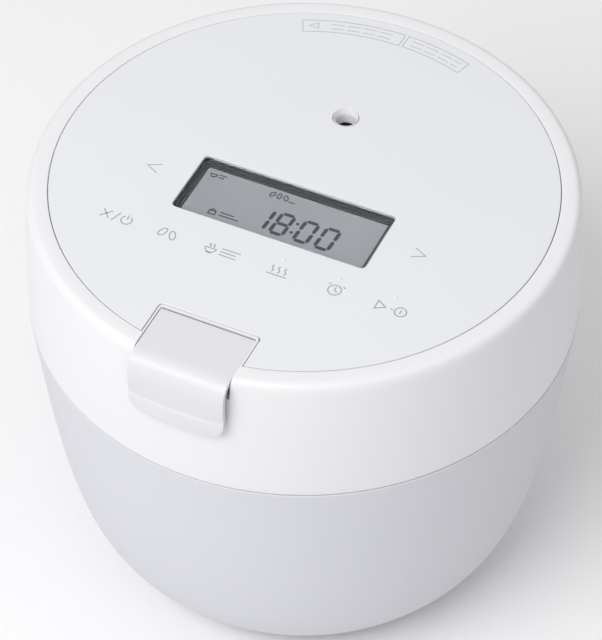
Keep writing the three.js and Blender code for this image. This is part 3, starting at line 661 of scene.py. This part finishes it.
def make_hinge_cowl():
    """The rounded cowl behind the body. It is hollow, and slotted at the top for the arms of the lid."""
    cowl = side_piece("hinge_cowl", [
        (110, 96, 0), (128, 96, 6), (141, 118, 16), (145, 141, 14), (145, 168.5, 5), (128, 168.5, 3), (110, 165.5, 0),
    ], -COWL_X, COWL_X, 3.2, 4)
    hollow = side_piece("hollow", [
        (105, 98.6, 0), (126.4, 98.6, 4), (138.7, 119.2, 14), (142.6, 141.5, 12), (142.6, 166, 3), (131.4, 166, 1),
        (130.4, 158.4, 0), (105, 158.4, 0),
    ], COWL_WALL - COWL_X, COWL_X - COWL_WALL)
    lid_room = lathe("lid_room", [(0, SEAM_Z - 0.2), (BODY_R + 2.2, SEAM_Z - 0.2), (BODY_R + 2.2, 174), (0, 174)])
    side = [(r, z) for r, z in case_outline(0.3, 40) if z > 90]
    body_room = lathe("body_room", [(0, side[0][1])] + side + [(0, SEAM_Z)])
    arm_slot = block("arm_slot", (-ARM_SLOT_X, from_axis(110), SEAM_Z - 0.1), (ARM_SLOT_X, from_axis(142.6), 174))
    ear_slot = block("ear_slot", (-27.2, from_axis(110), SEAM_Z - 0.1), (27.2, from_axis(131), 166.2))
    for tool in (hollow, lid_room, body_room, arm_slot, ear_slot):
        cowl = combine(cowl, tool, "DIFFERENCE")
    dress(smooth(cowl, 30), "case_white", "body", "hinge_cover")


make_case()
make_pan()
make_collar()
make_feet()
make_gland()
make_hinge_cowl()
for node, width in (("base_cover", 0.3), ("hinge_arm", 0.4), ("hinge_bracket", 0.3)):
    bevelled(frame["nodes"][node], width, 3, 30)

# ------------------------------------------------------------------ lid shells

LEDGE_Z = panel_low.z - 0.3
POCKET_X = 22.35
POCKET_LOW_X = 19.8                          # half the pocket's width below POCKET_STEP_Z
POCKET_STEP_Z = 212.5
POCKET_BACK = from_axis(-94.4)
POCKET_FLOOR = 192.4


def lid_outline():
    """The outside of the lid from the parting line to the flat ring round the panel, as (radius, z)."""
    side = bezier([(LID_R, LID_BOTTOM_Z), (LID_R - 0.1, 192), (LID_R - 3.4, TOP_Z - 3.9)], 16)
    corner = bezier([
        (LID_R - 3.4, TOP_Z - 3.9), (LID_R - 3.85, TOP_Z - 1.5), (LID_R - 5.2, TOP_Z), (LID_R - 7.5, TOP_Z),
    ], 10)
    return side + corner[1:]


def make_lid_cover():
    """The glossy lid: side, rounded corner and ring in one moulding, with the pocket for the flap."""
    outline = lid_outline()
    seat_r = PANEL_R + SEAM_GAP
    inner_r = LID_R - 3.3
    inside = [
        (seat_r - 4.6, LEDGE_Z), (seat_r - 4.6, LEDGE_Z - 2.2), (117, LEDGE_Z - 2.2), (119.4, 214), (122.2, 192),
        (inner_r, LID_BOTTOM_Z + 0.3),
    ]
    rim = rounded([outline[-1] + (0,), (seat_r, TOP_Z, 0.5), (seat_r, LEDGE_Z, 0.1), inside[0] + (0,)], 4)[1:-1]
    bottom = rounded([
        inside[-1] + (0,), (inner_r, LID_BOTTOM_Z, 0.3), (LID_R, LID_BOTTOM_Z, 0.5), outline[1] + (0,),
    ], 4)
    shell = lathe("lid_shell", outline[1:] + rim + inside[:-1] + bottom[:-1])
    filled = lathe("filled", [(0, LID_BOTTOM_Z)] + [(r - 0.6, z) for r, z in outline] + [(0, TOP_Z)])
    walls = block("walls", (-25, -160, POCKET_FLOOR - 2), (25, POCKET_BACK + 2.6, LEDGE_Z - 1.2))
    border = rectangle(-POCKET_X - 0.85, POCKET_X + 0.85, -125, POCKET_BACK + 1.35, 2.2)
    strip = flat_piece("strip", [border], LEDGE_Z - 1.6, TOP_Z - 0.1, 0.35)
    walls = combine(combine(walls, strip, "UNION"), filled, "INTERSECT")
    shell = combine(shell, walls, "UNION")
    upper_room = flat_piece("room", [rectangle(-POCKET_X, POCKET_X, -160, POCKET_BACK - 0.1, 1.4)], POCKET_STEP_Z,
                            TOP_Z + 2)
    lower_room = block("room", (-POCKET_LOW_X, -160, POCKET_FLOOR),
                       (POCKET_LOW_X, POCKET_BACK - 0.1, POCKET_STEP_Z + 0.5))
    undercut = block("undercut", (-POCKET_X, from_axis(-96), TOP_Z - 4.2), (POCKET_X, from_axis(-93.7), TOP_Z - 0.95))
    hook_slot = block("hook_slot", (-9.5, from_axis(-117.5), 180), (9.5, from_axis(-106.5), 200))
    notch = block("notch", (-ARM_SLOT_X, from_axis(110), 150), (ARM_SLOT_X, from_axis(130), 170.4))
    for tool in (upper_room, lower_room, undercut, hook_slot, notch):
        shell = combine(shell, tool, "DIFFERENCE")
    dress(smooth(shell, 30), "lid_white", "lid", "lid_cover")


def make_panel():
    """The satin control panel, notched for the flap and pierced for the display and the vent."""
    notch_x, notch_y, corner = 23.6, from_axis(-92.8), 2.0
    half = math.acos(notch_x / PANEL_R)
    arc_count = 150
    rim = [
        (PANEL_R * math.cos(a), AXIS_Y + PANEL_R * math.sin(a))
        for a in (-half + (math.pi + 2 * half) * i / arc_count for i in range(arc_count + 1))
    ]
    left = rounded([rim[-1] + (0,), (-notch_x, notch_y, corner), (0, notch_y, 0)], 6)[1:-1]
    right = [(-x, y) for x, y in reversed(left)]
    window = rectangle(window_low.x - SEAM_GAP, window_high.x + SEAM_GAP, window_low.y - SEAM_GAP,
                       window_high.y + 0.8, 2.6)
    vent = ring_points(0, (vent_low.y + vent_high.y) / 2, 6.05, 64)
    panel = flat_piece("control_panel", [rim + left + right, window, vent], panel_low.z, TOP_Z, 0.3)
    dress(panel, "panel_white", "lid", "touch_panel")


def make_flap():
    """The pull-up flap: flat on top, bent over the corner of the lid, with a ridge above its rounded lower edge."""
    half_x = (lever_high.x - lever_low.x) / 2 - 2.3   # the CAD box takes in the pins
    back, bottom, top = from_axis(-95.1), lever_low.z, lever_high.z
    front = from_axis(-129.3)
    line = [(back, top)] + bezier([
        (back - 22, top), (back - 31.2, top + 0.2), (front + 1.9, top - 6.2), (front + 1.7, bottom + 11.5),
    ], 24)
    line += bezier([(front + 1.7, bottom + 11.5), (front + 1.7, bottom + 9.4), (front + 1.65, bottom + 8.9)], 3)[1:]
    line += bezier([(front + 1.65, bottom + 8.9), (front + 1.6, bottom + 8.3), (front + 1.0, bottom + 7.7)], 5)[1:]
    line += bezier([(front + 1.0, bottom + 7.7), (front + 0.3, bottom + 4.5), (front, bottom)], 8)[1:]
    line = bezier([(back, top), (back - 10, top), (back - 22, top)], 6)[:-1] + line[1:]
    across = 24
    lengths = [0.0]
    for (y0, z0), (y1, z1) in zip(line, line[1:]):
        lengths.append(lengths[-1] + math.hypot(y1 - y0, z1 - z0))
    points, faces = [], []
    for (y, z), along in zip(line, lengths):
        left = max(0.0, FLAP_CORNER - (lengths[-1] - along))
        inset = FLAP_CORNER - math.sqrt(max(0.0, FLAP_CORNER ** 2 - left ** 2))
        lowness = min(1.0, max(0.0, (top - 7 - z) / (top - 7 - bottom)))
        for i in range(across + 1):
            x = (half_x - inset) * (2 * i / across - 1)
            bow = lowness * (LID_R - math.sqrt(LID_R ** 2 - x * x))
            points.append((x, y + bow, z))
    for j in range(len(line) - 1):
        for i in range(across):
            a = j * (across + 1) + i
            faces.append((a, a + 1, a + across + 2, a + across + 1))
    flap = mesh_from("latch_flap", points, faces)
    if sum(face.normal.z for face in flap.data.polygons) < 0:
        flap.data.flip_normals()
    thick = flap.modifiers.new("thickness", "SOLIDIFY")
    thick.thickness = FLAP_THICK * MM
    thick.offset = -1
    thick.use_even_offset = True
    flap = baked(bevelled(flap, 0.55, 4, 50))
    # The flap takes the darker copy of the lid's white: painted shade.
    dress(smooth(flap, 50), flap_white_painted_shade, "lever", "latch_lever", slot="lid_white")
    pivot_y, pivot_z = from_axis(LEVER_PIVOT[0]), LEVER_PIVOT[1]
    lug = rounded([(-4.5, 3.3, 0), (2.5, 3.3, 0), (2.8, -1, 2.6), (-0.5, -3.2, 2.6), (-3, -1.5, 2.6)], 5)
    pin_outline = rounded([(0, 18, 0), (1.5, 18, 0), (1.5, 24.4, 0.3), (0, 24.4, 0)], 3)
    for count, side in enumerate((-1, 1)):
        ear = flat_piece(f"flap_ear_{count + 1}", [lug], -1.5, 1.5, 0.3)
        ear.data.transform(Matrix.Translation(Vector((side * FLAP_EAR_X, pivot_y, pivot_z)) * MM) @ STAND_UP)
        dress(ear, "lid_white", "lever")
        pin = lathe(f"flap_pin_{count + 1}", pin_outline, (0, 0), 24)
        turn = Matrix.Rotation(math.radians(90 * side), 4, "Y")
        pin.data.transform(Matrix.Translation(Vector((0, pivot_y, pivot_z)) * MM) @ turn)
        dress(pin, "lid_white", "lever")
    tail = block("flap_tail", (-FLAP_TAIL_X, from_axis(-110.1), 205.3), (FLAP_TAIL_X, from_axis(-107.7), top - 2))
    dress(smooth(baked(bevelled(tail, 0.4, 2))), "lid_white", "lever")


def make_vent():
    """The steam outlet: a white funnel that narrows into a bore, with a black sleeve lower down that is painted shade
    for the dark depth of the hole.
    """
    centre = ((vent_low.x + vent_high.x) / 2, (vent_low.y + vent_high.y) / 2)
    radius = (vent_high.x - vent_low.x) / 2
    throat, shade_sleeve_top = 3.6, TOP_Z - 7
    outline = rounded([
        (throat, vent_low.z, 0), (radius - 0.5, vent_low.z, 0), (radius - 0.5, TOP_Z - 2, 0), (radius, TOP_Z - 2, 0),
        (radius, TOP_Z, 0.25), (radius - 0.2, TOP_Z, 0.2), (4.6, TOP_Z - 2.2, 3.0), (4.3, TOP_Z - 9, 0),
        (throat, TOP_Z - 10, 0),
    ], 8)
    dress(lathe("steam_outlet", outline, centre, 72), "lid_white", "lid", "steam_vent", slot="vent_grey")
    # A black sleeve down the bore: painted shade where the deep hole falls dark.
    ring = rounded([(3.5, 210, 0), (4.4, 210, 0), (4.5, shade_sleeve_top, 0), (4.2, shade_sleeve_top, 0.2), (3.5, 212, 0)], 4)
    dress(lathe("steam_bore_painted_shade", ring, centre, 48), "black_plastic", "lid", slot="dark_grey")


def make_display():
    """The dark stepped surround, its inner steps paler as painted highlight, the display under it and the flush clear
    window.
    """
    low_x, high_x, low_y, high_y = window_low.x, window_high.x, window_low.y, window_high.y
    bezel_low, bezel_high = node_box("lcd_bezel")
    outer = rectangle(bezel_low.x, bezel_high.x, bezel_low.y, bezel_high.y, 2)
    levels = [(SEAM_GAP, bezel_high.z - 0.75, bezel_high.z, 2.2), (-1.1, bezel_high.z - 1.5, bezel_high.z - 0.75, 1.6),
              (-2.4, bezel_high.z - 2.3, bezel_high.z - 1.5, 1.0)]
    for count, (grow, bottom, top, radius) in enumerate(levels):
        opening = rectangle(low_x - grow, high_x + grow, low_y - grow, high_y + grow + 0.45, radius)
        step = flat_piece(f"display_step_{count + 1}", [outer, opening], bottom, top, 0.15)
        # The inner steps take the paler copy of the dark grey: painted highlight on the steps.
        finish, stands_for = (step_grey_painted_highlight, ()) if count else ("dark_grey", ("lcd_bezel",))
        dress(step, finish, "lid", *stands_for, slot="dark_grey")
    glass = flat_piece("display_glass", [rectangle(glass_low.x, glass_high.x, glass_low.y, glass_high.y, 0.4)],
                       glass_low.z, glass_high.z - 0.4, 0.1)
    dress(glass, "lcd_grey", "lid", "lcd_glass")
    pane = rectangle(low_x, high_x, low_y, high_y, 2.3)
    window = flat_piece("display_window", [pane], TOP_Z - 1.6, TOP_Z - 0.35, 0.12)
    dress(window, "clear_window", "lid", "lcd_window")


def ribbon(name, lines, width, low_z, high_z):
    """Thin flat strokes along lines of (x, y) points. A line that ends where it starts is closed."""
    points, faces = [], []
    for line in lines:
        closed = len(line) > 2 and math.dist(line[0], line[-1]) < 1e-6
        path = [Vector(p) for p in (line[:-1] if closed else line)]
        count, base = len(path), len(points)
        for i, here in enumerate(path):
            before = path[i - 1] if closed or i else here - (path[i + 1] - here)
            after = path[(i + 1) % count] if closed or i < count - 1 else here + (here - path[i - 1])
            along_in, along_out = (here - before).normalized(), (after - here).normalized()
            side = Vector((-along_in.y - along_out.y, along_in.x + along_out.x)).normalized()
            reach = width / 2 / max(0.4, side.dot(Vector((-along_in.y, along_in.x))))
            left, right = here + side * reach, here - side * reach
            points += [(*left, low_z), (*right, low_z), (*right, high_z), (*left, high_z)]
        for i in range(count if closed else count - 1):
            a, b = base + 4 * i, base + 4 * ((i + 1) % count)
            faces += [(a + j, a + (j + 1) % 4, b + (j + 1) % 4, b + j) for j in range(4)]
        if not closed:
            last = base + 4 * (count - 1)
            faces += [(base + 3, base + 2, base + 1, base), (last, last + 1, last + 2, last + 3)]
    return mesh_from(name, points, faces)


def loop_of(points):
    return points + [points[0]]


def ellipse(x, y, half_x, half_y, tilt=0.0):
    turn, count = math.radians(tilt), 20
    result = []
    for i in range(count):
        a, b = half_x * math.cos(2 * math.pi * i / count), half_y * math.sin(2 * math.pi * i / count)
        result.append((x + a * math.cos(turn) - b * math.sin(turn), y + a * math.sin(turn) + b * math.cos(turn)))
    return loop_of(result)


def bow(x, y, radius, start, end, count=12):
    return [
        (x + radius * math.cos(math.radians(start + (end - start) * i / count)),
         y + radius * math.sin(math.radians(start + (end - start) * i / count)))
        for i in range(count + 1)
    ]


def wave(x, low_y, high_y, swing=0.45):
    return [
        (x + swing * math.sin(2 * math.pi * t / 10), low_y + (high_y - low_y) * t / 10) for t in range(11)
    ]


def bowl(x, y, r):
    return [loop_of(bow(x, y, r, 180, 360)), [(x - r * 0.45, y - r * 1.12), (x + r * 0.45, y - r * 1.12)]]


ICONS = {
    "key_cancel": [
        [(-6.2, -2.1), (-2.4, 2.1)], [(-6.2, 2.1), (-2.4, -2.1)], [(-0.9, -2.6), (0.9, 2.6)],
        bow(4.6, -0.2, 2.2, 125, 415, 18), [(4.6, 0.2), (4.6, 2.6)],
    ],
    "key_rice": [ellipse(-2.3, 0.2, 1.2, 2.3, -22), ellipse(2.1, -0.2, 1.2, 2.3, 22)],
    "key_menu": [
        *bowl(-4.9, 0.2, 2.3), wave(-5.7, 0.8, 2.7, 0.3), wave(-4.1, 0.8, 2.7, 0.3),
        [(-0.8, 1.7), (7.0, 1.7)], [(-0.8, 0), (5.6, 0)], [(-0.8, -1.7), (6.4, -1.7)],
    ],
    "key_warm": [
        wave(-2.6, -1.2, 2.3), wave(0, -1.2, 2.3), wave(2.6, -1.2, 2.3), [(-4.2, -2.3), (4.2, -2.3)],
    ],
    "key_timer": [ellipse(0, 0, 2.6, 2.6), [(0, 1.6), (0, 0), (1.3, -0.8)], [(-3.4, 2.2), (-2.5, 2.9)],
                  [(3.4, 2.2), (2.5, 2.9)]],
    "key_start": [loop_of([(-5.6, -2.2), (-5.6, 2.2), (-1.9, 0)]), ellipse(4.2, 0, 2.3, 2.3),
                  [(4.2, -1.0), (4.2, 1.0)], [(0.1, 0), (1.1, 0)]],
}
KEYS = {
    "key_cancel": -64.3, "key_rice": -39.2, "key_menu": -13.0, "key_warm": 13.6, "key_timer": 39.8, "key_start": 65.4,
}
KEY_Y, KEY_SCALE, KEY_STROKE = -55.5, 1.12, 0.55
ARROW_X, ARROW_Y = 63.9, -21
DOT_Y, DOTS_X = -48.6, (13.1, 39.2, 65.3)
PRINT = 0.05                                 # how far the print stands above the panel and reaches into it


def placed(lines, x, y, scale=1.0):
    return [[(x + a * scale, from_axis(y) + b * scale) for a, b in line] for line in lines]


def make_keys():
    """Printed pictograms for the six touch keys and the two arrows, and a raised dot over three of the keys."""
    low, high = TOP_Z - PRINT, TOP_Z + PRINT
    for name, x in KEYS.items():
        mark = ribbon(name, placed(ICONS[name], x, KEY_Y, KEY_SCALE), KEY_STROKE, low, high)
        dress(mark, ink, "lid", slot="panel_white")
    for name, side in (("arrow_left", -1), ("arrow_right", 1)):
        chevron = [[(-side * 2.9, 2.9), (side * 2.9, 0), (-side * 2.9, -2.9)]]
        dress(ribbon(name, placed(chevron, side * ARROW_X, ARROW_Y), 0.45, low, high), ink, "lid", slot="panel_white")
    for count, x in enumerate(DOTS_X):
        centre = (x, from_axis(DOT_Y))
        dot = lathe(f"key_dot_{count + 1}", [(0, TOP_Z - 0.1), (0.75, TOP_Z - 0.1)] + bezier(
            [(0.75, TOP_Z + 0.05), (0.6, TOP_Z + 0.4), (0, TOP_Z + 0.4)], 6), centre, 24)
        dress(dot, "panel_white", "lid")


def make_label():
    """A plain two-box frame along the rear edge of the panel, with bars where a notice would be."""
    low, high = TOP_Z - PRINT, TOP_Z + PRINT
    inner_r, outer_r = PANEL_R - 13.3, PANEL_R - 5.3

    def around(radius, start, end, count=24):
        angles = [math.radians(start + (end - start) * i / count) for i in range(count + 1)]
        return [(radius * math.sin(a), AXIS_Y + radius * math.cos(a)) for a in angles]

    lines = []
    for start, end in ((-25.4, 1.1), (2.1, 19.9)):
        lines.append(loop_of(around(inner_r, start, end) + around(outer_r, end, start)))
        for radius in (inner_r + 2.5, outer_r - 2.5):
            angle = start + (7.5 if start < 0 else 1.6)
            while angle < end - 3:
                lines.append(around(radius, angle, min(angle + 3.4, end - 1.4), 3))
                angle += 4.2
    centre = math.radians(-22.2)
    middle_r = (inner_r + outer_r) / 2
    x, y = middle_r * math.sin(centre), AXIS_Y + middle_r * math.cos(centre)
    lines.append(loop_of([(x - 2.6, y - 1.0), (x + 2.2, y - 0.8), (x + 0.6, y + 2.6)]))
    dress(ribbon("notice_frame", lines, 0.36, low, high), pale_ink, "lid", slot="panel_white")


SEGMENTS = {"0": "abcdef", "1": "bc", "8": "abcdefg"}
DIGITS = [("1", -12.6, 7.9), ("8", -3.1, 7.7), ("0", 8.3, 7.8), ("0", 18.4, 7.9)]   # glyph, left edge, width
COLON = ((7.2, -22.6), (6.8, -28.4))


def segment(kind, width, height, thick):
    """One bar of a seven-bar digit whose lower left corner is at the origin."""
    half, gap = thick / 2, 0.22
    middle = height / 2
    across = {"a": height - half, "g": middle, "d": half}
    upright = {"b": (width - half, middle, height), "c": (width - half, 0, middle),
               "e": (half, 0, middle), "f": (half, middle, height)}
    if kind in across:
        y, start, end = across[kind], half + gap, width - half - gap
        return [(start, y), (start + half, y + half), (end - half, y + half), (end, y), (end - half, y - half),
                (start + half, y - half)]
    x, start, end = upright[kind]
    start = start + gap + (half if start == 0 else 0)
    end = end - gap - (half if end == height else 0)
    return [(x, start), (x + half, start + half), (x + half, end - half), (x, end), (x - half, end - half),
            (x - half, start + half)]


def make_readout():
    """The time on the display in slanted seven-bar digits, with three small generic symbols."""
    low, high = glass_high.z - 0.42, glass_high.z - 0.3
    base_y, slant, height, thick = -32.7, 0.065, 14.2, 1.7
    points, faces = [], []
    for glyph, left, width in DIGITS:
        for kind in SEGMENTS[glyph]:
            bar = [(left + x + slant * y, from_axis(base_y + y)) for x, y in segment(kind, width, height, thick)]
            first, count = len(points), len(bar)
            points += [(*p, low) for p in bar] + [(*p, high) for p in bar]
            faces.append(tuple(first + i for i in reversed(range(count))))
            faces.append(tuple(first + count + i for i in range(count)))
            faces += [(first + i, first + (i + 1) % count, first + count + (i + 1) % count, first + count + i)
                      for i in range(count)]
    dress(mesh_from("readout_digits", points, faces), segment_ink, "lid", slot="lcd_grey")
    for count, (x, y) in enumerate(COLON):
        dot = lathe(f"readout_colon_{count + 1}", [(0, low), (0.75, low), (0.75, high), (0, high)],
                    (x, from_axis(y)), 20)
        dress(dot, segment_ink, "lid", slot="lcd_grey")
    symbols = placed(bowl(0, 0.4, 1.6) + [[(2.6, 0.9), (6.2, 0.9)], [(2.6, -0.7), (5.2, -0.7)]], -39.4, -10.3)
    symbols += placed([ellipse(-4.6, 0, 0.9, 1.6, -25), ellipse(-1.4, 0, 0.9, 1.6, 0), ellipse(1.8, 0, 0.9, 1.6, 25),
                       [(3.7, -1.4), (6.6, -1.4)]], -5.9, -10.4)
    symbols += placed([loop_of([(-8.2, -1.6), (-5.0, -1.6), (-5.0, 0.4), (-8.2, 0.4)]), bow(-6.6, 0.4, 1.1, 0, 180, 8),
                       [(-3.0, 0.9), (3.4, 0.9)], [(-3.0, -0.9), (6.4, -0.9)]], -23.3, -31.2)
    dress(ribbon("readout_symbols", symbols, 0.55, low, high), segment_ink, "lid", slot="lcd_grey")


def make_lid_underside():
    """The white lid frame, the pressed steel inner lid and the ribbed pan gasket."""
    frame_r, low, high = lid_frame_high.x, lid_frame_low.z, lid_frame_high.z
    hook = rectangle(-10.5, 10.5, from_axis(-118.5), from_axis(-105.5), 1.2)
    frame_loops = [ring_points(0, AXIS_Y, frame_r, AROUND), hook]
    dress(flat_piece("lid_lining", frame_loops, low, high, 0.3), "frame_white", "lid", "lid_frame")
    inner_r = inner_lid_high.x
    bottom, top = inner_lid_low.z, inner_lid_high.z
    dish = lathe("steel_lid", rounded([
        (14, bottom, 0.1), (30, bottom, 6), (34, bottom - 1.1, 4), (70, bottom - 1.1, 4), (74, bottom, 4),
        (inner_r - 3, bottom, 1), (inner_r, bottom, 0.5), (inner_r, top, 0.3), (74, top, 4), (70, top - 1.1, 4),
        (34, top - 1.1, 4), (30, top, 6), (14, top, 0.1),
    ], 5))
    dress(dish, "stainless", "lid", "inner_lid")
    holes = [ring_points(8 * math.cos(k * math.pi / 3), from_axis(STEAM_CAP_Y) + 8 * math.sin(k * math.pi / 3), 1.6, 20)
             for k in range(6)]
    hub = flat_piece("steel_hub", [ring_points(0, AXIS_Y, 14.4, 72)], bottom, top - 0.1, 0.15)
    dress(hub, "stainless", "lid")
    cap_loops = [ring_points(0, from_axis(STEAM_CAP_Y), 13, 64), ring_points(0, from_axis(STEAM_CAP_Y), 3, 24)] + holes
    cap = flat_piece("steam_cap", cap_loops, bottom - 1.6, bottom - 0.05, 0.3)
    dress(cap, "stainless", "lid")
    gasket_low, gasket_high = node_box("pan_gasket")
    r = gasket_high.x
    gasket = lathe("pan_seal", rounded([
        (r - 3.6, gasket_high.z, 0.3), (r - 3.6, gasket_low.z + 2.2, 0.6), (r - 2.6, gasket_low.z, 0.7),
        (r - 0.8, gasket_low.z, 0.7), (r, gasket_low.z + 1.2, 0.6), (r, gasket_low.z + 3.2, 0.3),
        (r - 0.7, gasket_low.z + 3.6, 0.3), (r, gasket_low.z + 4.0, 0.3), (r, gasket_high.z, 0.3),
    ], 5))
    dress(gasket, "silicone", "lid", "pan_gasket")


make_lid_cover()
make_panel()
make_flap()
make_vent()
make_display()
make_keys()
make_label()
make_readout()
make_lid_underside()
bpy.context.view_layer.update()
